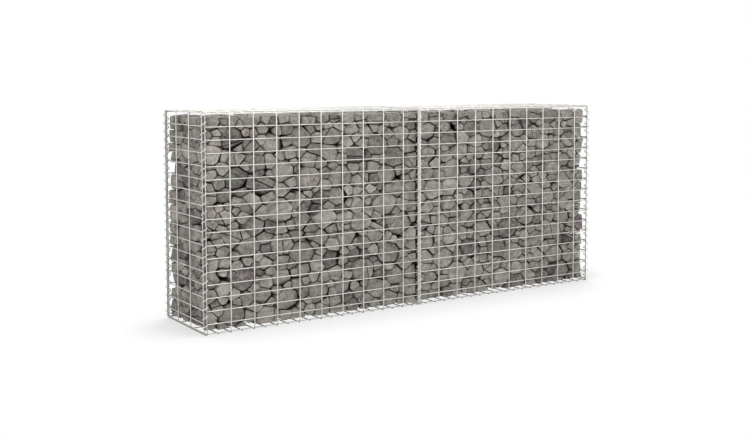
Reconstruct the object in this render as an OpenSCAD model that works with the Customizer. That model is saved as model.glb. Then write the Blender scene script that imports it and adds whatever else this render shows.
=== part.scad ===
// Gabion wall of two welded-mesh baskets with covers, laced at the corners
// by vertical wire spirals and filled with broken stone.
// Millimetres. X runs along the wall, -Y is the front, Z is up, ground at 0.

/* [Wall] */
// length of one basket between the axes of its spirals
bay_length = 990; // [600:10:1500]
// depth between the front and the back spiral axes
basket_depth = 372; // [280:4:600]
// height of the side meshes between their bottom and top wires
mesh_height = 836.5; // [436.5:50:1036.5]

/* [Mesh] */
// diameter of the mesh wire
wire_d = 4; // [3:0.5:5]
// spacing of the upright wires of front and back
mesh_run = 100; // [75:5:150]
// spacing of the level wires
mesh_rise = 50; // [40:2:60]
// spacing of the wires that are set out across the depth
mesh_depth_run = 125; // [90:5:150]
// depth by which a weld presses crossing wires into each other
weld_sink = 0.6; // [0.4:0.1:0.9]
// length of wire past the middle of an edge wire
wire_stub = 1.5; // [0.8:0.1:1.7]

/* [Spirals] */
// diameter of the spiral wire
spiral_d = 3; // [2:0.5:3]
// distance from the spiral axis to the wires it laces
spiral_reach = 6.5; // [5:0.1:7.5]
// distance between the two edge wires that meet at the middle joint
joint_gap = 6.6; // [6:0.2:7.4]

/* [Stone fill] */
// distance from the front and back meshes to the stone
fill_inset = 6; // [4:1:25]
// distance from the cover down to the stone
fill_drop = 12; // [6:1:40]
// bevel along the edges of the stone mass
fill_bevel = 14; // [6:1:30]

/* [Hidden] */

// sides of a wire, laid with flats square to the mesh
wire_sides = 8;
// play between pieces that lie on each other
seat = 0.1;
// play between wires that lie side by side
side_play = 0.3;
// distance between the centres of wires welded across each other
layer = wire_d - weld_sink;
// offset of a corner edge wire from the spiral axis, along X and along Y
corner = spiral_reach * sin(45);
// middle plane of the upright wires of front and back
face_y = basket_depth / 2 + corner;
// middle plane of the level wires of front and back
level_y = face_y - layer;
// middle plane of the upright wires of the ends
end_x = bay_length + corner;
// middle plane of the level wires of the ends
level_x = end_x - layer;
// spiral axis at the middle joint
joint_axis_y = face_y - sqrt(spiral_reach * spiral_reach - joint_gap * joint_gap / 4);

// heights of the layers, from the ground up
base_cross_z = wire_d / 2;
base_long_z = base_cross_z + layer;
face_low_z = wire_d + seat + wire_d / 2;
face_top_z = face_low_z + mesh_height;
end_low_z = base_long_z + wire_d + seat;
end_rise = end_low_z - face_low_z;
lid_cross_z = face_top_z + wire_d + seat;
lid_long_z = lid_cross_z + layer;

// base and cover wires
edge_run_y = level_y - wire_d - side_play;
edge_cross_x = level_x - wire_d - side_play;
inner_cross_x = layer + wire_d + side_play;

// spiral: three turns to two rows of the mesh, clear of the level wires
spiral_pitch = mesh_rise * 2 / 3;
spiral_step = 45;
spiral_ring = 5;
spiral_r = (spiral_reach + wire_d / 2 + 0.25 + spiral_d / 2) / cos(spiral_step / 2);
spiral_slot = spiral_pitch / 2;
spiral_lead = spiral_pitch / 4 - end_rise;
spiral_pass = (spiral_slot - (spiral_lead - spiral_slot * floor(spiral_lead / spiral_slot))) / 2;
spiral_zero = face_low_z + mesh_height + spiral_pass
              - spiral_pitch * ceil(mesh_height / spiral_pitch);
spiral_low = end_low_z + wire_d / 2 + spiral_d / 2 + 1.2;
spiral_high = face_top_z - wire_d / 2 - spiral_d / 2 - 1.2;

zinc = [0.72, 0.73, 0.72];
stone = [0.47, 0.45, 0.43];

// places of wires along a length: whole cells, then the cut cell
function places(length, pitch) =
    concat([for (p = [0 : pitch : length - 0.3 * pitch]) p], [length]);

module wire_z(x, y, z0, z1)
    translate([x, y, z0]) rotate([0, 0, 180 / wire_sides])
        cylinder(h = z1 - z0, r = wire_d / 2 / cos(180 / wire_sides), $fn = wire_sides);

module wire_x(y, z, x0, x1)
    translate([x0, y, z]) rotate([0, 90, 0]) rotate([0, 0, 180 / wire_sides])
        cylinder(h = x1 - x0, r = wire_d / 2 / cos(180 / wire_sides), $fn = wire_sides);

module wire_y(x, z, y0, y1)
    translate([x, y0, z]) rotate([-90, 0, 0]) rotate([0, 0, 180 / wire_sides])
        cylinder(h = y1 - y0, r = wire_d / 2 / cos(180 / wire_sides), $fn = wire_sides);

// right-hand front mesh, its uprights set out from the joint or from the end
// of the wall; the other meshes are mirrored from it
module face_mesh(from_joint) {
    x0 = joint_gap / 2;
    x1 = bay_length - corner;
    union() {
        for (p = places(x1 - x0, mesh_run))
            wire_z(from_joint ? x0 + p : x1 - p, -face_y,
                   face_low_z - wire_stub, face_top_z + wire_stub);
        for (p = places(mesh_height, mesh_rise))
            wire_x(-level_y, face_top_z - p, x0 - wire_stub, x1 + wire_stub);
    }
}

// mesh that closes a basket across the depth
module cross_mesh(upright_x, level_x, half) {
    low = end_low_z;
    top = face_top_z + end_rise;
    union() {
        for (p = places(2 * half, mesh_depth_run))
            wire_z(upright_x, -half + p, low - wire_stub, top + wire_stub);
        for (p = places(mesh_height, mesh_rise))
            wire_y(level_x, top - p, -half - wire_stub, half + wire_stub);
    }
}

// right-hand base mesh; the cover is the same mesh on top
module flat_mesh(cross_z) {
    union() {
        for (p = places(edge_cross_x - inner_cross_x, mesh_rise))
            wire_y(edge_cross_x - p, cross_z, -level_y - wire_d / 2, level_y + wire_d / 2);
        for (p = places(2 * edge_run_y, mesh_depth_run))
            wire_x(-edge_run_y + p, cross_z + layer, side_play / 2, level_x + wire_d / 4);
    }
}

// spiral binder wound round the edge wires at x, y
module spiral(x, y) {
    k0 = ceil((spiral_low - spiral_zero) / spiral_pitch * 360 / spiral_step);
    k1 = floor((spiral_high - spiral_zero) / spiral_pitch * 360 / spiral_step);
    slope = atan(spiral_pitch / (2 * PI * spiral_r));
    rings = k1 - k0 + 1;
    pts = [for (k = [k0 : k1]) let (a = (k + 0.5) * spiral_step,
               z = spiral_zero + spiral_pitch * a / 360)
           for (s = [0 : spiral_ring - 1]) let (b = 360 * s / spiral_ring,
               u = spiral_d / 2 * cos(b), v = spiral_d / 2 * sin(b))
           [(spiral_r + u) * cos(a) + v * sin(slope) * sin(a),
            (spiral_r + u) * sin(a) - v * sin(slope) * cos(a),
            z + v * cos(slope)]];
    faces = concat(
        [[for (s = [0 : spiral_ring - 1]) s]],
        [for (i = [0 : rings - 2]) for (s = [0 : spiral_ring - 1])
            let (t = (s + 1) % spiral_ring, n = i * spiral_ring, m = n + spiral_ring)
            for (f = [[n + s, m + s, m + t], [n + s, m + t, n + t]]) f],
        [[for (s = [spiral_ring - 1 : -1 : 0]) (rings - 1) * spiral_ring + s]]);
    translate([x, y, 0]) polyhedron(points = pts, faces = faces, convexity = 10);
}

// mass of broken stone in the right-hand basket
module stone_mass() {
    x0 = layer + wire_d / 2 + fill_inset / 2;
    x1 = level_x - wire_d / 2 - fill_inset;
    y1 = level_y - wire_d / 2 - fill_inset;
    z0 = base_long_z + wire_d / 2 + seat;
    z1 = lid_cross_z - wire_d / 2 - fill_drop;
    b = fill_bevel;
    intersection() {
        translate([0, 0, z0]) linear_extrude(z1 - z0)
            polygon([[x0 + b, -y1], [x1 - b, -y1], [x1, -y1 + b], [x1, y1 - b],
                     [x1 - b, y1], [x0 + b, y1], [x0, y1 - b], [x0, -y1 + b]]);
        translate([0, y1 + 1, 0]) rotate([90, 0, 0]) linear_extrude(2 * y1 + 2)
            polygon([[x0 - 1, z0], [x1 + 1, z0], [x1 + 1, z1 - b - 1], [x1 - b, z1],
                     [x0 + b, z1], [x0 - 1, z1 - b - 1]]);
    }
}

module base_panel_left()  color(zinc) mirror([1, 0, 0]) flat_mesh(base_cross_z);
module base_panel_right() color(zinc) flat_mesh(base_cross_z);
module lid_panel_left()   color(zinc) mirror([1, 0, 0]) flat_mesh(lid_cross_z);
module lid_panel_right()  color(zinc) flat_mesh(lid_cross_z);

// every mesh starts with a whole cell at its left, so the cut cell is at its right
module front_panel_left()  color(zinc) mirror([1, 0, 0]) face_mesh(false);
module front_panel_right() color(zinc) face_mesh(true);
module back_panel_left()   color(zinc) mirror([1, 0, 0]) mirror([0, 1, 0]) face_mesh(false);
module back_panel_right()  color(zinc) mirror([0, 1, 0]) face_mesh(true);

module end_panel_left()  color(zinc) cross_mesh(-end_x, -level_x, basket_depth / 2 - corner);
module end_panel_right() color(zinc) cross_mesh(end_x, level_x, basket_depth / 2 - corner);
module divider_panel()   color(zinc) cross_mesh(0, layer, joint_axis_y - spiral_reach);

module spiral_front_left()   color(zinc) spiral(-bay_length, -basket_depth / 2);
module spiral_front_middle() color(zinc) spiral(0, -joint_axis_y);
module spiral_front_right()  color(zinc) spiral(bay_length, -basket_depth / 2);
module spiral_back_left()    color(zinc) spiral(-bay_length, basket_depth / 2);
module spiral_back_middle()  color(zinc) spiral(0, joint_axis_y);
module spiral_back_right()   color(zinc) spiral(bay_length, basket_depth / 2);

module rock_fill_left()  color(stone) mirror([1, 0, 0]) stone_mass();
module rock_fill_right() color(stone) stone_mass();

base_panel_left();
base_panel_right();
front_panel_left();
front_panel_right();
back_panel_left();
back_panel_right();
end_panel_left();
end_panel_right();
divider_panel();
lid_panel_left();
lid_panel_right();
spiral_front_left();
spiral_front_middle();
spiral_front_right();
spiral_back_left();
spiral_back_middle();
spiral_back_right();
rock_fill_left();
rock_fill_right();
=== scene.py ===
"""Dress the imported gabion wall: round welded wire, wire spirals and single broken stones."""

import math
from collections import namedtuple
from functools import partial
from itertools import combinations

import bmesh
import bpy
import numpy as np
from bpy.props import FloatProperty, FloatVectorProperty, IntProperty, PointerProperty
from mathutils import Euler, Matrix, Vector


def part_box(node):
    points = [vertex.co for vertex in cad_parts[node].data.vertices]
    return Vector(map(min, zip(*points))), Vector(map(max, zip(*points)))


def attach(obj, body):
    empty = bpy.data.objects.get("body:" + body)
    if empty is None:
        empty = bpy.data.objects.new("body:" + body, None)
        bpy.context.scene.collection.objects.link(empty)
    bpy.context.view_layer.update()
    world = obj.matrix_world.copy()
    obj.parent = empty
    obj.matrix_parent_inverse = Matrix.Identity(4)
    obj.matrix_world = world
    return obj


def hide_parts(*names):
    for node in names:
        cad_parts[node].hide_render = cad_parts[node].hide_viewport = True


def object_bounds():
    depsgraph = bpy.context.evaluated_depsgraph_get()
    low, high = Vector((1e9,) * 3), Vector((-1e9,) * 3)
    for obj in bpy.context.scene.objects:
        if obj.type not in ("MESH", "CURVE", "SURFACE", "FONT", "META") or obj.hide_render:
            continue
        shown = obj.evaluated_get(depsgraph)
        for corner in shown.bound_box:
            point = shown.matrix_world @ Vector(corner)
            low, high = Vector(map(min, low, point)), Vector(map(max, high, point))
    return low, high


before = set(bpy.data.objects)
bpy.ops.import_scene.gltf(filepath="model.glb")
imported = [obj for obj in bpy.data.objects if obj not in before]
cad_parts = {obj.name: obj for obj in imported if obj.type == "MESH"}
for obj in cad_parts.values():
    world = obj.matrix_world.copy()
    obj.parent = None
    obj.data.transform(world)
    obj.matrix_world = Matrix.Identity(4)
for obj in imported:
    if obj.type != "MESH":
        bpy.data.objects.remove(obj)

bl_info = {
    "name": "Gabion wall",
    "version": (1, 0, 0),
    "blender": (4, 5, 0),
    "location": "View3D > Sidebar > Gabion",
    "description": "Welded-mesh baskets with covers, laced by wire spirals and filled with broken stone",
    "category": "Object",
}

CAD_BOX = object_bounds()
BODY = "root"
X, Y, Z = 0, 1, 2

FACE_PANELS = ("front_panel_left", "front_panel_right", "back_panel_left", "back_panel_right")
CROSS_PANELS = ("end_panel_left", "end_panel_right", "divider_panel")
FLAT_PANELS = ("base_panel_left", "base_panel_right", "lid_panel_left", "lid_panel_right")
SPIRALS = (
    "spiral_front_left",
    "spiral_front_middle",
    "spiral_front_right",
    "spiral_back_left",
    "spiral_back_middle",
    "spiral_back_right",
)
BASKETS = ("left", "right")


class GabionWireSettings(bpy.types.PropertyGroup):
    """Sizes and colour of the mesh wire and the spirals."""

    diameter: FloatProperty(
        name="Wire diameter", description="Thickness of the mesh wire", default=0.004, unit="LENGTH"
    )
    stub: FloatProperty(
        name="Wire stub", description="Wire past the middle of an edge wire", default=0.0015, unit="LENGTH"
    )
    run: FloatProperty(
        name="Upright spacing", description="Spacing of front and back uprights", default=0.1, unit="LENGTH"
    )
    rise: FloatProperty(
        name="Level spacing", description="Spacing of the level wires", default=0.05, unit="LENGTH"
    )
    depth_run: FloatProperty(
        name="Depth spacing", description="Spacing of wires across the depth", default=0.125, unit="LENGTH"
    )
    outer_margin: FloatProperty(
        name="Outer margin", description="Flat mesh, from its outer end to its first cross wire",
        default=0.0053, unit="LENGTH",
    )
    inner_margin: FloatProperty(
        name="Inner margin", description="Flat mesh, from its inner end to its last cross wire",
        default=0.00755, unit="LENGTH",
    )
    side_margin: FloatProperty(
        name="Side margin", description="Flat mesh, from its long side to its edge wire",
        default=0.0063, unit="LENGTH",
    )
    spiral_diameter: FloatProperty(
        name="Spiral wire diameter", description="Thickness of the spiral wire", default=0.003, unit="LENGTH"
    )
    spiral_radius: FloatProperty(
        name="Spiral radius", description="Radius to the middle of the spiral wire",
        default=0.0103, unit="LENGTH",
    )
    zinc: FloatVectorProperty(
        name="Mesh zinc", description="Colour of the galvanised mesh", default=(0.82, 0.805, 0.77),
        subtype="COLOR", min=0, max=1,
    )
    # The end and divider meshes are the same zinc made darker, as painted shade.
    shaded_end_zinc: FloatVectorProperty(
        name="End zinc", description="Colour of the duller end and divider meshes",
        default=(0.765, 0.75, 0.72), subtype="COLOR", min=0, max=1,
    )
    # The cover meshes are the same zinc made lighter, as painted light.
    lit_cover_zinc: FloatVectorProperty(
        name="Cover zinc", description="Colour of the brighter cover meshes",
        default=(0.93, 0.915, 0.88), subtype="COLOR", min=0, max=1,
    )
    spiral_zinc: FloatVectorProperty(
        name="Spiral zinc", description="Colour of the galvanised spirals", default=(0.78, 0.775, 0.76),
        subtype="COLOR", min=0, max=1,
    )


class GabionStoneSettings(bpy.types.PropertyGroup):
    """Sizes and colours of the broken stone."""

    seed: IntProperty(name="Seed", description="Start of the random numbers", default=7)
    large: FloatProperty(
        name="Large stone", description="Radius of the largest stones", default=0.052, unit="LENGTH"
    )
    small: FloatProperty(
        name="Small stone", description="Radius of the smallest stones", default=0.0135, unit="LENGTH"
    )
    joint: FloatProperty(
        name="Joint", description="Usual gap between two stones", default=0.0032, unit="LENGTH"
    )
    arris: FloatProperty(
        name="Worn edge", description="Width of the worn edge of a stone", default=0.0028, unit="LENGTH"
    )
    reach: FloatProperty(
        name="Reach", description="How far stones lie past the fill block towards the meshes",
        default=0.0030, unit="LENGTH",
    )
    stand: FloatProperty(
        name="Stand", description="How far the stones that show stay above the fill block's underside",
        default=0.0055, unit="LENGTH",
    )
    right_gap: FloatProperty(
        name="Right gap", description="How much sooner the stones end at the right end of the wall",
        default=0.011, unit="LENGTH",
    )
    stretch: FloatVectorProperty(
        name="Stretch", description="How much the stones are drawn out along, across and up the wall",
        default=(1.2, 1.45, 1.0), subtype="XYZ",
    )
    cracked: FloatProperty(
        name="Cracked", description="Share of the larger stones that are split in two", default=0.25
    )
    crack_from: FloatProperty(
        name="Cracked from", description="Radius from which stones may be split", default=0.024,
        unit="LENGTH",
    )
    pale: FloatVectorProperty(
        name="Pale stone", description="Colour of the palest stones", default=(0.436, 0.403, 0.362),
        subtype="COLOR", min=0, max=1,
    )
    dark: FloatVectorProperty(
        name="Dark stone", description="Colour of the darkest stones", default=(0.052, 0.049, 0.045),
        subtype="COLOR", min=0, max=1,
    )


class GabionStageSettings(bpy.types.PropertyGroup):
    """Camera, floor and lamps."""

    camera_place: FloatVectorProperty(
        name="Camera place", description="Where the camera stands", default=(-2.5640, -3.8118, 0.9657),
        subtype="TRANSLATION", unit="LENGTH",
    )
    camera_turn: FloatProperty(
        name="Camera turn", description="Turn of the view from the depth towards the right end",
        default=math.radians(34.209), subtype="ANGLE",
    )
    camera_dip: FloatProperty(
        name="Camera dip", description="Fall of the view below level", default=math.radians(3.257),
        subtype="ANGLE",
    )
    lens: FloatProperty(name="Lens", description="Focal length on a 36 mm frame", default=49.805)
    middle_x: FloatProperty(
        name="Optical axis across", description="Pixel column of the lens axis", default=400.0
    )
    middle_y: FloatProperty(
        name="Optical axis down", description="Pixel row of the lens axis", default=140.0
    )
    key_power: FloatProperty(
        name="Key lamp", description="Power of the soft lamp at the left", default=112.0, unit="POWER"
    )
    fill_power: FloatProperty(
        name="Fill lamp", description="Power of the soft lamp at the right", default=50.0, unit="POWER"
    )
    top_power: FloatProperty(
        name="Top lamp", description="Power of the soft lamp above the wall", default=90.0, unit="POWER"
    )
    back_power: FloatProperty(
        name="Back lamp", description="Power of the weak lamp behind the wall", default=58.0, unit="POWER"
    )
    sky: FloatProperty(name="Sky", description="Strength of the even white light", default=0.55)


class Value:
    """A shader socket that takes part in Python arithmetic."""

    def __init__(self, finish, socket):
        self.finish = finish
        self.socket = socket

    def math(self, operation, first, second):
        node = self.finish.node("ShaderNodeMath", {"operation": operation}, {0: first, 1: second})
        return self.finish.out(node)

    def __add__(self, other):
        return self.math("ADD", self, other)

    def __radd__(self, other):
        return self.math("ADD", other, self)

    def __sub__(self, other):
        return self.math("SUBTRACT", self, other)

    def __rsub__(self, other):
        return self.math("SUBTRACT", other, self)

    def __mul__(self, other):
        return self.math("MULTIPLY", self, other)

    def __rmul__(self, other):
        return self.math("MULTIPLY", other, self)

    def __abs__(self):
        return self.math("ABSOLUTE", self, 0.0)

    def least(self, other):
        return self.math("MINIMUM", self, other)

    def most(self, other):
        return self.math("MAXIMUM", self, other)


class Finish:
    """The nodes of a material or of the world under construction."""

    def __init__(self, owner):
        self.owner = owner
        owner.use_nodes = True
        self.tree = owner.node_tree
        self.tree.nodes.clear()

    def node(self, kind, settings=None, inputs=None):
        """Add one node; its settings are set first, then its sockets are filled or linked."""
        made = self.tree.nodes.new(kind)
        for name, setting in (settings or {}).items():
            setattr(made, name, setting)
        for name, source in (inputs or {}).items():
            if isinstance(source, Value):
                self.tree.links.new(source.socket, made.inputs[name])
            else:
                made.inputs[name].default_value = source
        return made

    def out(self, node, name=0):
        return Value(self, node.outputs[name])

    def noise(self, vector, scale, detail=3.0, roughness=0.5):
        sockets = {"Vector": vector, "Scale": scale, "Detail": detail, "Roughness": roughness}
        return self.out(self.node("ShaderNodeTexNoise", None, sockets), "Fac")

    def vector(self, operation, first, second):
        return self.out(self.node("ShaderNodeVectorMath", {"operation": operation}, {0: first, 1: second}))

    def join(self, x, y, z):
        return self.out(self.node("ShaderNodeCombineXYZ", None, {0: x, 1: y, 2: z}))

    def object_place(self):
        return self.out(self.node("ShaderNodeTexCoord"), "Object")

    def axes(self, vector):
        """The three parts of a vector."""
        parts = self.node("ShaderNodeSeparateXYZ", None, {0: vector})
        return self.out(parts, 0), self.out(parts, 1), self.out(parts, 2)

    def seen(self):
        """One for rays that show the background: straight, mirrored or through glass."""
        path = self.node("ShaderNodeLightPath")
        shows = self.out(path, "Is Camera Ray").most(self.out(path, "Is Glossy Ray"))
        return shows.most(self.out(path, "Is Transmission Ray"))

    def mix(self, factor, first, second, blend="MIX"):
        settings = {"data_type": "RGBA", "blend_type": blend}
        return self.out(self.node("ShaderNodeMix", settings, {0: factor, 6: first, 7: second}), 2)

    def span(self, source, low, high, new_low=0.0, new_high=1.0):
        sockets = {0: source, 1: low, 2: high, 3: new_low, 4: new_high}
        return self.out(self.node("ShaderNodeMapRange", {"clamp": True}, sockets))

    def bump(self, height, strength, distance, normal=None):
        sockets = {"Height": height, "Strength": strength, "Distance": distance}
        if normal is not None:
            sockets["Normal"] = normal
        return self.out(self.node("ShaderNodeBump", None, sockets))

    def close(self, sockets):
        shader = self.node("ShaderNodeBsdfPrincipled", None, sockets)
        self.node("ShaderNodeOutputMaterial", None, {"Surface": self.out(shader)})
        return self.owner


WHITE = (1.0, 1.0, 1.0, 1.0)


def opaque(colour):
    """A colour with an alpha of one."""
    return (*colour, 1.0)


# Usual range of a noise, and its middle.
NOISE_RANGE = (0.3, 0.7)
NOISE_MIDDLE = 0.5
# Painted shade: how far out a point of wire faces where it is painted darkest and where it is bright, and the
# darkest shades.
INNER_SIDE = -0.50
OUTER_SIDE = 0.05
INNER_SHADE = 0.18
COVER_SHADE = 0.80
# Painted shade darker towards the top, evening out the light from above: heights over which it grows, and its
# shade at the top of most meshes and of the covers.
PAINTED_TOP_LOW = 0.10
PAINTED_TOP_HIGH = 0.85
PAINTED_TOP_SHADE = 0.90
UNSHADED_TOP = 1.0
# Painted shade on wires near the ground: heights over which it fades out, and their shade at the ground.
GROUND_LOW = 0.006
GROUND_HIGH = 0.014
GROUND_SHADE = 0.6
# Shares of streak and spangle in the pattern, its range, and the shades and roughness that it gives.
STREAK_SHARE = 0.6
SPANGLE_SHARE = 0.4
ZINC_PATTERN = (0.34, 0.66)
ZINC_DULL = 0.78
ZINC_BRIGHT = 1.08
ZINC_ROUGHNESS = (0.36, 0.52)


def zinc_finish(name, colour, inner_shade=INNER_SHADE, top_shade=PAINTED_TOP_SHADE):
    """Galvanised wire: faint spangle and streaks, with painted shade on its inner side, near the ground and
    towards the top.
    """
    finish = Finish(bpy.data.materials.new(name))
    outward = finish.out(finish.node("ShaderNodeAttribute", {"attribute_name": "outward"}), "Fac")
    place = finish.object_place()
    streak = finish.noise(place, scale=38.0)
    spangle = finish.noise(place, scale=420.0, detail=2.0)
    darker_zinc = opaque([channel * ZINC_DULL for channel in colour])
    bright = opaque([min(1.0, channel * ZINC_BRIGHT) for channel in colour])
    pattern = streak * STREAK_SHARE + spangle * SPANGLE_SHARE
    shade = finish.mix(finish.span(pattern, *ZINC_PATTERN), darker_zinc, bright)
    # Painted shade: wire sides facing into the wall, corner uprights and the tops and undersides of level
    # wires are painted darker.
    painted_side_shade = finish.span(outward, INNER_SIDE, OUTER_SIDE, inner_shade, 1.0)
    height = finish.axes(place)[Z]
    # Painted shade on wires near the ground.
    painted_ground_shade = finish.span(height, GROUND_LOW, GROUND_HIGH, GROUND_SHADE, 1.0)
    # Painted shade: darker towards the top, to even out the light from above.
    painted_top_darkening = finish.span(height, PAINTED_TOP_LOW, PAINTED_TOP_HIGH, 1.0, top_shade)
    return finish.close({
        "Base Color": finish.mix(1.0, shade, painted_side_shade * painted_ground_shade * painted_top_darkening, "MULTIPLY"),
        "Metallic": 0.35,
        "Roughness": finish.span(spangle, *NOISE_RANGE, *ZINC_ROUGHNESS),
        "Normal": finish.bump(spangle, strength=0.15, distance=0.0004),
    })


# Tints of a few stones, the part of the range of tints that each takes, and the tint of plain stones.
GREEN_STONE = (0.90, 0.985, 0.945, 1.0)
GREEN_TINT = (0.84, 0.94)
PURPLE_STONE = (0.98, 0.90, 0.985, 1.0)
PURPLE_TINT = (0.16, 0.06)
PLAIN_TINT = 0.5
# How the pattern is turned and moved from stone to stone, and drawn out into streaks.
PATTERN_TURN = (37.0, 23.0, 51.0)
PATTERN_SHIFT = (9.0, 5.0, 7.0)
STREAK_DRAW = (1.0, 1.0, 0.16)
# How much each noise changes the tone.
STREAK_AMOUNT = 1.15
MOTTLE_AMOUNT = 0.75
SPECKLE_AMOUNT = 0.6
GRAIN_AMOUNT = 0.5
# Fine cracks: how far from the middle of their noise they reach, and their shade.
CRACK_REACH = 0.010
CRACK_SHADE = 0.62
# Painted shade deeper inside the fill: depths at which it starts and is full, and its shade.
DEPTH_SHADE_STARTS = 0.003
DEPTH_SHADE_FULL = 0.028
DEPTH_PAINTED_SHADE = 0.30
STONE_ROUGHNESS = (0.78, 0.95)


def stone_finish(name, stones, high):
    """Broken grey stone: a tone for each stone, streaks, mottling, fine cracks and painted shade deeper
    inside the fill.
    """
    finish = Finish(bpy.data.materials.new(name))
    own = finish.out(finish.node("ShaderNodeAttribute", {"attribute_name": "stone_tone"}), "Vector")
    tone, tint, drift = finish.axes(own)
    place = finish.object_place()
    turn = finish.join(*(drift * amount for amount in PATTERN_TURN))
    shift = finish.join(*(drift * amount for amount in PATTERN_SHIFT))
    settings = {"rotation_type": "EULER_XYZ"}
    turned = finish.out(finish.node("ShaderNodeVectorRotate", settings, {"Vector": place, "Rotation": turn}))
    moved = finish.vector("ADD", turned, shift)
    drawn = finish.vector("MULTIPLY", moved, STREAK_DRAW)

    streak = finish.noise(drawn, scale=68.0, detail=4.0, roughness=0.62)
    mottle = finish.noise(moved, scale=40.0, detail=4.0, roughness=0.6)
    grain = finish.noise(moved, scale=290.0, roughness=0.6)
    speckle = finish.noise(moved, scale=150.0, detail=2.0)
    crack = abs(finish.noise(moved, scale=19.0, detail=2.0) - NOISE_MIDDLE)
    level = (
        tone
        + (streak - NOISE_MIDDLE) * STREAK_AMOUNT
        + (mottle - NOISE_MIDDLE) * MOTTLE_AMOUNT
        + (speckle - NOISE_MIDDLE) * SPECKLE_AMOUNT
        + (grain - NOISE_MIDDLE) * GRAIN_AMOUNT
    )
    grey = finish.mix(finish.span(level, 0.0, 1.0), opaque(stones.dark), opaque(stones.pale))
    green = finish.mix(finish.span(tint, *GREEN_TINT), grey, GREEN_STONE, "MULTIPLY")
    tinted = finish.mix(finish.span(tint, *PURPLE_TINT), green, PURPLE_STONE, "MULTIPLY")
    cracked = finish.mix(1.0, tinted, finish.span(crack, 0.0, CRACK_REACH, CRACK_SHADE, 1.0), "MULTIPLY")

    # Painted shade: darker the deeper a point lies inside the fill.
    x, y, z = finish.axes(place)
    inside = (high[X] - abs(x)).least(high[Y] - abs(y)).least(high[Z] - z)
    depth_painted_shade = finish.span(inside, DEPTH_SHADE_STARTS, DEPTH_SHADE_FULL, 1.0, DEPTH_PAINTED_SHADE)
    coarse = finish.bump(mottle, strength=0.5, distance=0.008)
    split = finish.bump(streak, strength=0.6, distance=0.0045, normal=coarse)
    return finish.close({
        "Base Color": finish.mix(1.0, cracked, depth_painted_shade, "MULTIPLY"),
        "Roughness": finish.span(grain, *NOISE_RANGE, *STONE_ROUGHNESS),
        "Specular IOR Level": 0.3,
        "Normal": finish.bump(grain, strength=0.5, distance=0.0020, normal=split),
    })


# Distances from the wall over which the floor's shadow fades, and how pale the floor is beside the wall.
FLOOR_KEEPS = 0.05
FLOOR_FADES = 0.85
FLOOR_PALE = 0.3
# Painted light: distance under the wall over which the floor is painted white over its shadow, and how white
# it gets.
UNDER_FULL = 0.02
UNDER_PAINTED_LIGHT = 0.85
FLOOR_GREY = (0.93, 0.93, 0.93, 1.0)


def floor_finish(name, half_length, half_depth):
    """Pale studio floor: it keeps the shadow round the wall and fades to white away from it, and under it is
    painted white over the shadow as painted light.
    """
    finish = Finish(bpy.data.materials.new(name))
    x, y, _ = finish.axes(finish.object_place())
    beside = finish.join((abs(x) - half_length).most(0.0), (abs(y) - half_depth).most(0.0), 0.0)
    away = finish.out(finish.node("ShaderNodeVectorMath", {"operation": "LENGTH"}, {0: beside}), "Value")
    lit = finish.out(finish.node("ShaderNodeBsdfDiffuse", None, {"Color": FLOOR_GREY}))
    white = finish.out(finish.node("ShaderNodeEmission", None, {"Color": WHITE, "Strength": 1.0}))
    inside = (half_length - abs(x)).least(half_depth - abs(y))
    # Painted light: under the wall the floor is painted white over the shadow.
    under = finish.span(inside, 0.0, UNDER_FULL, 0.0, UNDER_PAINTED_LIGHT)
    fade = finish.span(away, FLOOR_KEEPS, FLOOR_FADES, FLOOR_PALE, 1.0).most(under) * finish.seen()
    both = finish.out(finish.node("ShaderNodeMixShader", None, {0: fade, 1: lit, 2: white}))
    finish.node("ShaderNodeOutputMaterial", None, {"Surface": both})
    return finish.owner


def keep_piece(name, mesh, material, nodes):
    """Put a finished mesh into the scene as a piece that stands for CAD nodes."""
    mesh.materials.append(material)
    piece = bpy.data.objects.new(name, mesh)
    bpy.context.scene.collection.objects.link(piece)
    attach(piece, BODY)
    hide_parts(*nodes)


# Distance from a side of the wall within which a wire is at that side.
AT_SIDE = 0.018
# How much less corner uprights, and the upper and lower sides of level wires, count as facing out, which
# paints them darker as painted shade.
CORNER_PAINTED_SHADE = 0.3
LEVEL_PAINTED_SHADE = 1.15
# Share of the wall's half length past which a spiral is at an end.
AT_END = 0.9


def faces_out(points, normals, axis):
    """How far points of a mesh face out of the wall, for their painted shade; less at corners, and above and
    below level wires.
    """
    low, high = (np.array(corner) for corner in CAD_BOX)
    off = points - (low + high) / 2
    at_side = (high - low) / 2 - np.abs(off) < AT_SIDE
    facing = np.where(at_side, normals * np.sign(off), 1.0)
    outward = facing[:, axis]
    if axis != Z:
        outward = outward - LEVEL_PAINTED_SHADE * np.abs(normals[:, Z]) * ~at_side[:, Z]
        outward = np.where(at_side.all(axis=1), facing[:, :Z].min(axis=1) - CORNER_PAINTED_SHADE, outward)
    return outward


def lies_out(points, _normals):
    """How far points of a spiral lie towards the outside of the wall, for their painted shade."""
    axis = (points.min(axis=0) + points.max(axis=0)) / 2
    way = np.array([np.trunc(axis[X] / CAD_BOX[1].x / AT_END), np.sign(axis[Y]), 0.0])
    arms = points - axis
    return arms @ way / (np.linalg.norm(way) * np.abs(arms[:, X]).max())


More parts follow.
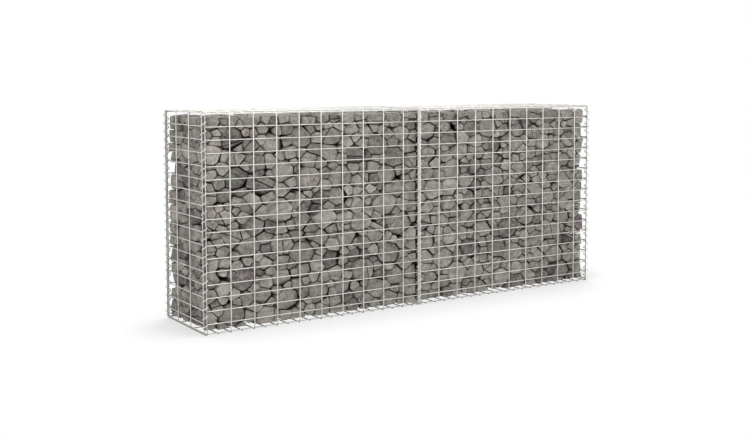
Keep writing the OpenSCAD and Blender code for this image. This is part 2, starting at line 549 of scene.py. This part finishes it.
def wire_mesh(bm, node, crease, outward):
    """Turn a bmesh of wire into a smooth mesh that keeps how far each point is turned outward, for the
    painted shade of its finish.
    """
    mesh = bpy.data.meshes.new(node + "_wire")
    bm.to_mesh(mesh)
    bm.free()
    mesh.shade_smooth()
    mesh.set_sharp_from_angle(angle=crease)
    points = np.empty((len(mesh.vertices), 3), dtype=np.float32)
    mesh.vertices.foreach_get("co", points.ravel())
    normals = np.empty_like(points)
    mesh.vertex_normals.foreach_get("vector", normals.ravel())
    turned = outward(points, normals).astype(np.float32)
    mesh.attributes.new("outward", "FLOAT", "POINT").data.foreach_set("value", turned)
    return mesh


# Least length of a cut cell, as a share of a whole one.
LEAST_CELL = 0.3


def places(length, pitch):
    """Places of wires along a length: whole cells, then the cut cell."""
    whole = [step * pitch for step in range(int((length - LEAST_CELL * pitch) / pitch) + 1)]
    return whole + [length]


WIRE_SIDES = 12
WIRE_CREASE = math.radians(50)
# Rounding of a wire's cut ends, and width and height of a weld, in wire radii.
CUT_ROUND = 0.22
WELD_WIDTH = 1.18
WELD_HEIGHT = 0.62
TURN_TO = {
    X: Matrix.Rotation(math.pi / 2, 4, "Y"),
    Y: Matrix.Rotation(-math.pi / 2, 4, "X"),
    Z: Matrix.Identity(4),
}


def add_wire(bm, axis, middle, length, radius):
    """One straight round wire with a slightly rounded cut at each end."""
    made = bmesh.ops.create_cone(
        bm, cap_ends=True, cap_tris=False, segments=WIRE_SIDES, radius1=radius, radius2=radius,
        depth=length, matrix=Matrix.Translation(middle) @ TURN_TO[axis],
    )
    faces = dict.fromkeys(face for vert in made["verts"] for face in vert.link_faces)
    rims = [edge for face in faces if len(face.verts) == WIRE_SIDES for edge in face.edges]
    bmesh.ops.bevel(
        bm, geom=rims, offset=radius * CUT_ROUND, affect="EDGES", segments=1, profile=0.5, material=-1
    )


def add_weld(bm, place, normal_axis, radius):
    """The small squeezed bead where two wires are welded."""
    size = [radius * WELD_WIDTH] * 3
    size[normal_axis] = radius * WELD_HEIGHT
    bmesh.ops.create_icosphere(
        bm, subdivisions=1, radius=1.0, matrix=Matrix.Translation(place) @ Matrix.Diagonal((*size, 1.0))
    )


def point(axis_values):
    """A vector from a map of axis to coordinate."""
    return Vector((axis_values[X], axis_values[Y], axis_values[Z]))


def weld_mesh(wires, first, second, normal_axis):
    """Two sets of wires welded across each other.

    Each set is a dict: axis the wires run along, start and end on it,
    places on the other axis, and level on the panel's normal.
    """
    bm = bmesh.new()
    radius = wires.diameter / 2
    for own, other in ((first, second), (second, first)):
        for place in own["places"]:
            middle = point({
                own["axis"]: (own["start"] + own["end"]) / 2,
                other["axis"]: place,
                normal_axis: own["level"],
            })
            add_wire(bm, own["axis"], middle, own["end"] - own["start"], radius)
    between = (first["level"] + second["level"]) / 2
    for one in first["places"]:
        for two in second["places"]:
            crossing = point({second["axis"]: one, first["axis"]: two, normal_axis: between})
            add_weld(bm, crossing, normal_axis, radius)
    return bm


def from_side(low, high, pitch, start_high):
    """Places between two edge wires, set out from the high or the low one."""
    steps = places(high - low, pitch)
    return [high - step for step in steps] if start_high else [low + step for step in steps]


def upright_panel(wires, node, normal_axis, across_axis, across_pitch, outer_low):
    """A standing mesh: uprights on the outer side, level wires inside, set out from the top."""
    low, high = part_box(node)
    radius = wires.diameter / 2
    trim = radius - wires.stub
    outer = low[normal_axis] + radius if outer_low else high[normal_axis] - radius
    inner = high[normal_axis] - radius if outer_low else low[normal_axis] + radius
    uprights = {
        "axis": Z,
        "start": low.z + trim,
        "end": high.z - trim,
        "places": from_side(
            low[across_axis] + radius, high[across_axis] - radius, across_pitch, False
        ),
        "level": outer,
    }
    levels = {
        "axis": across_axis,
        "start": low[across_axis] + trim,
        "end": high[across_axis] - trim,
        "places": from_side(low.z + radius, high.z - radius, wires.rise, True),
        "level": inner,
    }
    return weld_mesh(wires, uprights, levels, normal_axis)


def flat_panel(wires, node):
    """A base or cover mesh: cross wires below, lengthwise wires on top."""
    low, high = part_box(node)
    radius = wires.diameter / 2
    right = high.x > -low.x
    margin_low = wires.inner_margin if right else wires.outer_margin
    margin_high = wires.outer_margin if right else wires.inner_margin
    cross = {
        "axis": Y,
        "start": low.y,
        "end": high.y,
        "places": from_side(low.x + margin_low, high.x - margin_high, wires.rise, right),
        "level": low.z + radius,
    }
    runs = {
        "axis": X,
        "start": low.x,
        "end": high.x,
        "places": from_side(low.y + wires.side_margin, high.y - wires.side_margin, wires.depth_run, False),
        "level": high.z - radius,
    }
    return weld_mesh(wires, cross, runs, Z)


class GABION_OT_panels(bpy.types.Operator):
    """Make the welded meshes of the baskets from round wire"""

    bl_idname = "gabion.panels"
    bl_label = "Welded meshes"

    def execute(self, context):
        wires = context.scene.gabion_wire
        zinc = zinc_finish("galvanised_mesh", wires.zinc)
        # The end and divider meshes get a darker copy of the zinc, as painted shade.
        darker_zinc = zinc_finish("galvanised_ends", wires.shaded_end_zinc)
        # The covers get a lighter copy of the zinc, as painted light, with less painted side shade and none
        # towards the top.
        cover = zinc_finish("galvanised_covers", wires.lit_cover_zinc, COVER_SHADE, UNSHADED_TOP)
        for node in FACE_PANELS:
            bm = upright_panel(wires, node, Y, X, wires.run, node.startswith("front"))
            mesh = wire_mesh(bm, node, WIRE_CREASE, partial(faces_out, axis=Y))
            keep_piece(node + "_wire", mesh, zinc, [node])
        for node in CROSS_PANELS:
            bm = upright_panel(wires, node, X, Y, wires.depth_run, node != "end_panel_right")
            mesh = wire_mesh(bm, node, WIRE_CREASE, partial(faces_out, axis=X))
            keep_piece(node + "_wire", mesh, darker_zinc, [node])
        for node in FLAT_PANELS:
            mesh = wire_mesh(flat_panel(wires, node), node, WIRE_CREASE, partial(faces_out, axis=Z))
            finish = cover if node.startswith("lid") else zinc
            keep_piece(node + "_wire", mesh, finish, [node])
        return {"FINISHED"}


SPIRAL_STEPS = 20
SPIRAL_SIDES = 8
SPIRAL_CREASE = math.radians(60)
# A spiral makes three turns to two rows of cells.
SPIRAL_TURNS = 3
SPIRAL_ROWS = 2


def spiral_start(wires, pitch):
    """Height at which a spiral passes the direction of +X, clear of the level wires."""
    face_low, face_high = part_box("front_panel_left")
    radius = wires.diameter / 2
    top = face_high.z - radius
    height = top - face_low.z - radius
    end_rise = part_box("end_panel_left")[0].z - face_low.z
    slot = pitch / 2
    passing = (slot - (pitch / 4 - end_rise) % slot) / 2
    return top + passing - pitch * math.ceil(height / pitch)


def spiral_mesh(wires, node):
    """A wire wound round the edge wires, swept by a spin that climbs."""
    low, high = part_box(node)
    pitch = wires.rise * SPIRAL_ROWS / SPIRAL_TURNS
    radius = wires.spiral_diameter / 2
    start = low.z + radius
    turns = (high.z - radius - start) / pitch
    angle = math.tau * (start - spiral_start(wires, pitch)) / pitch
    slope = math.atan(pitch / (math.tau * wires.spiral_radius))
    axis = Vector(((low.x + high.x) / 2, (low.y + high.y) / 2, start))
    steps = round(turns * SPIRAL_STEPS)
    seat = (
        Matrix.Translation(axis)
        @ Matrix.Rotation(angle, 4, "Z")
        @ Matrix.Translation((wires.spiral_radius, 0, 0))
        @ Matrix.Rotation(slope - math.pi / 2, 4, "X")
    )
    bm = bmesh.new()
    bmesh.ops.create_circle(bm, cap_ends=False, segments=SPIRAL_SIDES, radius=radius, matrix=seat)
    bmesh.ops.spin(
        bm, geom=bm.verts[:] + bm.edges[:], cent=axis, axis=(0, 0, 1),
        dvec=(0, 0, turns * pitch / steps), angle=math.tau * turns, steps=steps,
    )
    bmesh.ops.holes_fill(bm, edges=[edge for edge in bm.edges if edge.is_boundary], sides=0)
    bmesh.ops.recalc_face_normals(bm, faces=bm.faces[:])
    return wire_mesh(bm, node, SPIRAL_CREASE, lies_out)


class GABION_OT_spirals(bpy.types.Operator):
    """Wind the spirals that lace the vertical edges"""

    bl_idname = "gabion.spirals"
    bl_label = "Spirals"

    def execute(self, context):
        wires = context.scene.gabion_wire
        zinc = zinc_finish("galvanised_spiral", wires.spiral_zinc)
        for node in SPIRALS:
            keep_piece(node + "_wire", spiral_mesh(wires, node), zinc, [node])
        return {"FINISHED"}


Wall = namedtuple("Wall", "normal axis lean recess shows")
Room = namedtuple("Room", "walls cuts low high")
Pack = namedtuple("Pack", "centres radii outer_count")

# Room between the stones and the coils.
COIL_CLEAR = 0.001


def basket_walls(side):
    """The walls of a basket: outward normal, its axis, lean and set-back of stones, and if they show."""
    outer = -1 if side == "left" else 1
    return (
        Wall(Vector((outer, 0, 0)), X, lean=0.085, recess=0.0050, shows=True),
        Wall(Vector((-outer, 0, 0)), X, lean=0.020, recess=0.0015, shows=False),
        Wall(Vector((0, -1, 0)), Y, lean=0.062, recess=0.0036, shows=True),
        Wall(Vector((0, 1, 0)), Y, lean=0.062, recess=0.0036, shows=True),
        Wall(Vector((0, 0, -1)), Z, lean=0.020, recess=0.0015, shows=False),
        Wall(Vector((0, 0, 1)), Z, lean=0.060, recess=0.0050, shows=True),
    )


def coil_cuts(stones, side):
    """Planes that keep the stones of a basket off the coils at its four corners: foot and way."""
    fill_low, fill_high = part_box("rock_fill_" + side)
    middle = (fill_low + fill_high) / 2
    cuts = []
    for node in SPIRALS:
        low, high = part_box(node)
        if side in node or "middle" in node:
            coil = (low + high) / 2
            way = Vector((math.copysign(1, coil.x - middle.x), math.copysign(1, coil.y), 0)).normalized()
            foot = coil - way * ((high.x - low.x) / 2 + COIL_CLEAR)
            foot = Vector(np.array(foot) / stones.stretch)
            way = Vector(np.array(way) * stones.stretch)
            cuts.append((foot, way.normalized()))
    return cuts


def basket_room(stones, side):
    """The room for a basket's stones, in the space where they are not drawn out yet."""
    low, high = (np.array(corner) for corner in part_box("rock_fill_" + side))
    low[:Z] -= stones.reach
    high[:Z] += stones.reach
    if side == "right":
        high[X] -= stones.right_gap
    return Room(basket_walls(side), coil_cuts(stones, side), low / stones.stretch, high / stones.stretch)


def wall_level(room, wall):
    """Where a wall stands on its axis."""
    return room.high[wall.axis] if wall.normal[wall.axis] > 0 else room.low[wall.axis]


# Depth of a stone's centre behind one wall or two, and its least distance from the others, in radii.
BEHIND_ONE = (0.45, 0.95)
BEHIND_TWO = (0.45, 0.62)
WALL_CLEAR = 0.55


def place_behind(rng, room, walls, radius):
    """A random stone centre just behind one wall, or behind two in the edge where they meet."""
    clear = radius * WALL_CLEAR
    place = rng.uniform(room.low + clear, room.high - clear)
    for wall in walls:
        depth = radius * rng.uniform(*(BEHIND_ONE if len(walls) == 1 else BEHIND_TWO))
        place[wall.axis] = wall_level(room, wall) - wall.normal[wall.axis] * depth
    return place


# Stones in the edges: tries, shares of the range of sizes, and how close they come as a share of their radii.
EDGE_TRIES = 500
EDGE_SIZES = (0.15, 0.75)
EDGE_SPACING = 0.82
# Stones behind one wall, in bands: least and greatest share of the range of sizes, tries and spacing.
STONE_BANDS = (
    (0.66, 1.00, 650, 0.87),
    (0.38, 0.66, 2200, 0.86),
    (0.19, 0.38, 2600, 0.90),
)
# Small stones that fill gaps: tries, spacing, and the slack that lets a stone of just that size settle.
GAP_TRIES = 9000
GAP_SPACING = 0.87
GAP_SLACK = 0.99
# Plain stones in the core: tries, sizes in large radii, spacing, and distance from the walls in radii.
CORE_TRIES = 1600
CORE_SIZES = (1.0, 1.4)
CORE_SPACING = 0.8
CORE_CLEAR = 0.6


def pack_stones(rng, stones, room):
    """Random centres and radii: the stones that show, large ones first, then plainer ones in the core."""
    showing = [wall for wall in room.walls if wall.shows]
    sides = room.high - room.low
    areas = np.array([np.prod(sides) / sides[wall.axis] for wall in showing])
    chances = areas / areas.sum()
    span = stones.large - stones.small
    centres = np.empty((0, 3))
    radii = np.empty(0)

    def settle(centre, radius, spacing):
        nonlocal centres, radii
        apart = np.linalg.norm(centres - centre, axis=1)
        if np.all(apart > spacing * (radii + radius)):
            centres = np.vstack([centres, centre])
            radii = np.append(radii, radius)

    def place_anywhere(radius):
        wall = showing[rng.choice(len(showing), p=chances)]
        return place_behind(rng, room, [wall], radius)

    for pair in combinations(showing, 2):
        if pair[0].axis != pair[1].axis:
            for _ in range(EDGE_TRIES):
                radius = stones.small + span * rng.uniform(*EDGE_SIZES)
                settle(place_behind(rng, room, pair, radius), radius, EDGE_SPACING)
    for least, most, tries, spacing in STONE_BANDS:
        for _ in range(tries):
            radius = stones.small + span * rng.uniform(least, most)
            settle(place_anywhere(radius), radius, spacing)
    for _ in range(GAP_TRIES):
        place = place_anywhere(stones.small)
        free = np.min(np.linalg.norm(centres - place, axis=1) / GAP_SPACING - radii)
        if free > stones.small:
            settle(place, min(free, stones.crack_from), GAP_SLACK * GAP_SPACING)
    outer_count = len(radii)
    for _ in range(CORE_TRIES):
        radius = stones.large * rng.uniform(*CORE_SIZES)
        clear = radius * CORE_CLEAR
        settle(rng.uniform(room.low + clear, room.high - clear), radius, CORE_SPACING)
    return Pack(centres, radii, outer_count)


# Least depth of a cut.
LEAST_CUT = 0.0004


def split_off(bm, place, normal):
    """Cut a convex stone by a plane and close the cut, if the plane meets it."""
    level = place.dot(normal)
    if max((vert.co.dot(normal) for vert in bm.verts), default=level) < level + LEAST_CUT:
        return
    cut = bmesh.ops.bisect_plane(
        bm, geom=bm.verts[:] + bm.edges[:] + bm.faces[:], plane_co=place, plane_no=normal,
        clear_outer=True,
    )
    rim = [item for item in cut["geom_cut"] if isinstance(item, bmesh.types.BMEdge)]
    if len(rim) > 2:
        bmesh.ops.contextual_create(bm, geom=rim)


def tilted(rng, normal, amount):
    """A unit vector near a given one."""
    return (normal + Vector(rng.normal(0.0, amount, 3))).normalized()


def chip(bm, rng, centre, way, least, most):
    """Knock the farthest corner off along a direction."""
    farthest = max((vert.co - centre).dot(way) for vert in bm.verts)
    split_off(bm, centre + way * (farthest - rng.uniform(least, most)), way)


# Breaking of corners: most that one stone loses, tilt of the break, and its place as a share of the limit.
CORNERS_BROKEN = 9
CORNER_TILT = 0.14
CORNER_BREAK = (0.86, 0.96)


def round_corners(bm, rng, centre, limit):
    """Break off the corners that stand far out, which leaves small voids between stones."""
    for _ in range(CORNERS_BROKEN):
        corner = max((vert.co - centre for vert in bm.verts), key=lambda arm: arm.length)
        if corner.length < limit:
            return
        way = tilted(rng, corner.normalized(), CORNER_TILT)
        split_off(bm, centre + way * limit * rng.uniform(*CORNER_BREAK), way)


# Sizes in radii of a stone: its blank, the reach of walls and neighbours, and how far out corners may stand.
BLANK_SIZE = 3.2
WALL_REACH = 1.2
NEIGHBOUR_REACH = 1.5
CORNER_LIMIT = (1.28, 1.62)
# Half width of a leaning outer face in radii, which sets how far the face is moved in.
LEAN_REACH = 0.8
# Gap to a neighbour as a share of the usual one, and tilt of the face beside it.
JOINT_RANGE = (0.35, 0.85)
JOINT_TILT = 0.05
# Chips at the rim of an outer face: most of them, slant in radians, and least and greatest depth in radii.
MOST_CHIPS = 3
CHIP_SLANT = (0.45, 1.05)
CHIP_LEAST = 0.04
CHIP_MOST = 0.18


def rough_stone(rng, stones, room, pack, index):
    """One stone: the room its neighbours leave it, with split faces and broken corners."""
    centres, radii, outer_count = pack
    centre = Vector(centres[index])
    radius = radii[index]
    bm = bmesh.new()
    bmesh.ops.create_cube(bm, size=radius * BLANK_SIZE, matrix=Matrix.Translation(centre))
    outward = []
    for wall in room.walls:
        foot = centre.copy()
        foot[wall.axis] = wall_level(room, wall)
        if wall.normal.z < 0 and index < outer_count:
            foot.z += stones.stand
        way = tilted(rng, wall.normal, wall.lean)
        if abs(foot[wall.axis] - centre[wall.axis]) < radius * WALL_REACH:
            rise = radius * LEAN_REACH * way.angle(wall.normal)
            foot -= wall.normal * (rise + abs(rng.normal(0.0, wall.recess)))
            if wall.shows:
                outward.append(wall.normal)
        split_off(bm, foot, way)
    for foot, way in room.cuts:
        split_off(bm, foot, way)
    if not bm.verts:
        return bm, []
    offsets = centres - centres[index]
    apart = np.linalg.norm(offsets, axis=1)
    near = np.where((apart > 0) & (apart < NEIGHBOUR_REACH * (radii + radius)))[0]
    meet = (apart[near] ** 2 + radius**2 - radii[near] ** 2) / (2 * apart[near])
    for order in np.argsort(meet):
        other = near[order]
        away = Vector(offsets[other] / apart[other])
        joint = stones.joint * rng.uniform(*JOINT_RANGE)
        split_off(bm, centre + away * (meet[order] - joint), tilted(rng, away, JOINT_TILT))
    round_corners(bm, rng, centre, radius * rng.uniform(*CORNER_LIMIT))
    for normal in outward:
        for _ in range(rng.integers(0, MOST_CHIPS + 1)):
            side = Vector(rng.normal(0.0, 1.0, 3)).cross(normal).normalized()
            slant = rng.uniform(*CHIP_SLANT)
            way = normal * math.cos(slant) + side * math.sin(slant)
            chip(bm, rng, centre, way, radius * CHIP_LEAST, radius * CHIP_MOST)
    return bm, outward


# Split stones: tilt of the split, its greatest distance from the middle in radii, and half its gap in joints.
SPLIT_TILT = 0.12
SPLIT_OFF = 0.45
SPLIT_GAP = 0.5


def crack_stone(bm, rng, stones, outward, centre, radius):
    """Split a stone across its outer face; the second half comes back as a stone of its own."""
    across = Vector(rng.normal(0.0, 1.0, 3)).cross(outward[0]).normalized()
    way = tilted(rng, across, SPLIT_TILT)
    place = centre + way * radius * rng.uniform(-SPLIT_OFF, SPLIT_OFF)
    gap = way * stones.joint * SPLIT_GAP
    second = bm.copy()
    split_off(bm, place - gap, way)
    split_off(second, place + gap, -way)
    return second


# Cleaning: corners closer than the first are merged, edges shorter than the second are dissolved.
MERGE_CLOSER = 0.0022
DISSOLVE_SHORTER = 0.0005
# Least share of a face's normal that points out of the wall, if the face is to show.
SHOWS_FROM = 0.3
# Wear of the edges as a share of the usual one, and the radius below which stones wear less.
WEAR_RANGE = (0.6, 1.3)
WEAR_RADIUS = 0.028
# Outer faces of this area are dished or crowned within this range, and spokes of this length are roughened.
BROAD_AREA = 0.00025
DISH_RANGE = (-0.0018, 0.0020)
LONG_SPOKE = 0.014
SKIN_FRACTAL = 0.14
SKIN_ALONG_NORMAL = 0.7


def weather_stone(bm, rng, stones, outward, radius, seed):
    """Wear the edges near the walls, dish the outer faces and roughen their skin."""
    bmesh.ops.remove_doubles(bm, verts=bm.verts[:], dist=MERGE_CLOSER)
    bmesh.ops.dissolve_degenerate(bm, dist=DISSOLVE_SHORTER, edges=bm.edges[:])
    bmesh.ops.recalc_face_normals(bm, faces=bm.faces[:])

    def shows(face):
        return any(face.normal.dot(normal) > SHOWS_FROM for normal in outward)

    corners = [vert for face in bm.faces if shows(face) for vert in face.verts]
    worn = dict.fromkeys(edge for vert in corners for edge in vert.link_edges)
    wear = stones.arris * rng.uniform(*WEAR_RANGE) * min(1.0, radius / WEAR_RADIUS)
    bmesh.ops.bevel(
        bm, geom=list(worn), offset=wear, affect="EDGES", segments=1, profile=0.5, material=-1,
        clamp_overlap=True,
    )
    bm.normal_update()
    broad = [face for face in bm.faces if shows(face) and face.calc_area() > BROAD_AREA]
    middles = bmesh.ops.poke(bm, faces=broad, center_mode="MEAN_WEIGHTED")["verts"]
    for vert in middles:
        vert.normal_update()
        vert.co += vert.normal * rng.uniform(*DISH_RANGE)
    spokes = dict.fromkeys(edge for vert in middles for edge in vert.link_edges)
    bmesh.ops.subdivide_edges(
        bm, edges=[edge for edge in spokes if edge.calc_length() > LONG_SPOKE], cuts=1,
        fractal=SKIN_FRACTAL, along_normal=SKIN_ALONG_NORMAL, seed=seed, use_grid_fill=True,
    )


STONE_CREASE = math.radians(32)


class Heap:
    """Stones gathered as arrays for one joined mesh."""

    def __init__(self):
        self.points = []
        self.faces = []
        self.tones = []

    def take(self, bm, tone):
        first = len(self.points)
        bm.verts.index_update()
        self.points.extend(vert.co.copy() for vert in bm.verts)
        self.faces.extend([first + vert.index for vert in face.verts] for face in bm.faces)
        self.tones.extend(tone for _ in bm.verts)

    def mesh(self, name, stretch):
        mesh = bpy.data.meshes.new(name)
        mesh.from_pydata(np.array(self.points) * stretch, [], self.faces)
        tone = mesh.attributes.new("stone_tone", "FLOAT_COLOR", "POINT")
        tone.data.foreach_set("color", np.array(self.tones, dtype=np.float32).ravel())
        mesh.shade_smooth()
        mesh.set_sharp_from_angle(angle=STONE_CREASE)
        return mesh


# Shares of dark stones and of all but pale ones, and each kind's usual tone and spread.
DARK_SHARE = 0.15
PALE_FROM = 0.88
DARK_TONE = (0.32, 0.06)
USUAL_TONE = (0.55, 0.06)
PALE_TONE = (0.70, 0.05)


def stone_tone(rng):
    """Tone, tint and pattern shift of one stone; a few are dark and tinted, a few are pale."""
    kind = rng.uniform()
    tint = PLAIN_TINT
    if kind < DARK_SHARE:
        tone = rng.normal(*DARK_TONE)
        tint = rng.uniform()
    elif kind < PALE_FROM:
        tone = rng.normal(*USUAL_TONE)
    else:
        tone = rng.normal(*PALE_TONE)
    return (tone, tint, rng.uniform(), 1.0)


# Fewest faces of a closed stone.
LEAST_FACES = 4


def fill_basket(rng, stones, side):
    """Break the stones of a basket and gather those of its front and of its back half."""
    room = basket_room(stones, side)
    pack = pack_stones(rng, stones, room)
    heaps = {"front": Heap(), "back": Heap()}
    for index, centre in enumerate(pack.centres):
        radius = pack.radii[index]
        bm, outward = rough_stone(rng, stones, room, pack, index)
        broken = [bm]
        if outward and radius > stones.crack_from and rng.uniform() < stones.cracked:
            broken.append(crack_stone(bm, rng, stones, outward, Vector(centre), radius))
        for stone in broken:
            if len(stone.faces) >= LEAST_FACES:
                if index < pack.outer_count:
                    weather_stone(stone, rng, stones, outward, radius, index)
                heaps["front" if centre[Y] < 0 else "back"].take(stone, stone_tone(rng))
            stone.free()
    return heaps


class GABION_OT_stones(bpy.types.Operator):
    """Fill the baskets with broken stone"""

    bl_idname = "gabion.stones"
    bl_label = "Stone fill"

    def execute(self, context):
        stones = context.scene.gabion_stone
        _, right_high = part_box("rock_fill_right")
        finish = stone_finish("broken_stone", stones, right_high)
        for number, side in enumerate(BASKETS):
            rng = np.random.default_rng(stones.seed + number)
            for part, heap in fill_basket(rng, stones, side).items():
                name = "stones_" + side + "_" + part
                keep_piece(name, heap.mesh(name, stones.stretch), finish, ["rock_fill_" + side])
        return {"FINISHED"}


IMAGE_WIDTH = 750
IMAGE_HEIGHT = 440
SENSOR_WIDTH = 36.0
FLOOR_RADIUS = 30.0
FLOOR_SIDES = 96
LAMP_SIZE = 3.0
LAMP_TARGET = Vector((0.0, 0.0, 0.4))
LAMP_PLACES = {
    "key": Vector((-3.4, -3.3, 3.0)),
    "fill": Vector((2.6, -3.6, 2.4)),
    "top": Vector((0.0, 0.3, 4.2)),
    "back": Vector((3.0, 3.6, 2.6)),
}


def add_lamp(name, place, power):
    """A square soft lamp that points at the middle of the wall."""
    lamp = bpy.data.lights.new(name, "AREA")
    lamp.shape = "SQUARE"
    lamp.size = LAMP_SIZE
    lamp.energy = power
    holder = bpy.data.objects.new(name, lamp)
    holder.location = place
    holder.rotation_euler = (LAMP_TARGET - place).to_track_quat("-Z", "Y").to_euler()
    bpy.context.scene.collection.objects.link(holder)


def white_sky(strength):
    """Even white light; the background itself is plain white."""
    finish = Finish(bpy.data.worlds.new("studio"))
    level = finish.span(finish.seen(), 0.0, 1.0, strength, 1.0)
    light = finish.node("ShaderNodeBackground", None, {"Color": WHITE, "Strength": level})
    finish.node("ShaderNodeOutputWorld", None, {"Surface": finish.out(light)})
    bpy.context.scene.world = finish.owner


class GABION_OT_stage(bpy.types.Operator):
    """Set up the camera, the floor and the lamps"""

    bl_idname = "gabion.stage"
    bl_label = "Stage"

    def execute(self, context):
        stage = context.scene.gabion_stage
        lens = bpy.data.cameras.new("camera")
        lens.lens = stage.lens
        lens.sensor_width = SENSOR_WIDTH
        lens.shift_x = (IMAGE_WIDTH / 2 - stage.middle_x) / IMAGE_WIDTH
        lens.shift_y = (stage.middle_y - IMAGE_HEIGHT / 2) / IMAGE_WIDTH
        camera = bpy.data.objects.new("camera", lens)
        camera.location = stage.camera_place
        camera.rotation_euler = Euler((math.pi / 2 - stage.camera_dip, 0.0, -stage.camera_turn))
        context.scene.collection.objects.link(camera)
        context.scene.camera = camera

        bm = bmesh.new()
        bmesh.ops.create_circle(bm, cap_ends=True, segments=FLOOR_SIDES, radius=FLOOR_RADIUS)
        mesh = bpy.data.meshes.new("floor")
        bm.to_mesh(mesh)
        bm.free()
        mesh.materials.append(floor_finish("studio_floor", CAD_BOX[1].x, CAD_BOX[1].y))
        floor = bpy.data.objects.new("floor", mesh)
        context.scene.collection.objects.link(floor)

        for name, place in LAMP_PLACES.items():
            add_lamp(name, place, getattr(stage, name + "_power"))
        white_sky(stage.sky)
        context.scene.view_settings.view_transform = "Standard"
        return {"FINISHED"}


class GABION_PT_panel(bpy.types.Panel):
    """Steps that make the gabion wall, in order"""

    bl_idname = "GABION_PT_panel"
    bl_label = "Gabion wall"
    bl_space_type = "VIEW_3D"
    bl_region_type = "UI"
    bl_category = "Gabion"

    def draw(self, context):
        for operator in OPERATORS:
            self.layout.operator(operator.bl_idname)


OPERATORS = (GABION_OT_panels, GABION_OT_spirals, GABION_OT_stones, GABION_OT_stage)
SETTINGS = {
    "gabion_wire": GabionWireSettings,
    "gabion_stone": GabionStoneSettings,
    "gabion_stage": GabionStageSettings,
}


def register():
    for settings in SETTINGS.values():
        bpy.utils.register_class(settings)
    for operator in OPERATORS:
        bpy.utils.register_class(operator)
    bpy.utils.register_class(GABION_PT_panel)
    for name, settings in SETTINGS.items():
        setattr(bpy.types.Scene, name, PointerProperty(type=settings))


def unregister():
    for name in SETTINGS:
        delattr(bpy.types.Scene, name)
    bpy.utils.unregister_class(GABION_PT_panel)
    for operator in reversed(OPERATORS):
        bpy.utils.unregister_class(operator)
    for settings in SETTINGS.values():
        bpy.utils.unregister_class(settings)


def main():
    register()
    bpy.ops.gabion.panels()
    bpy.ops.gabion.spirals()
    bpy.ops.gabion.stones()
    bpy.ops.gabion.stage()


if __name__ == "__main__":
    main()
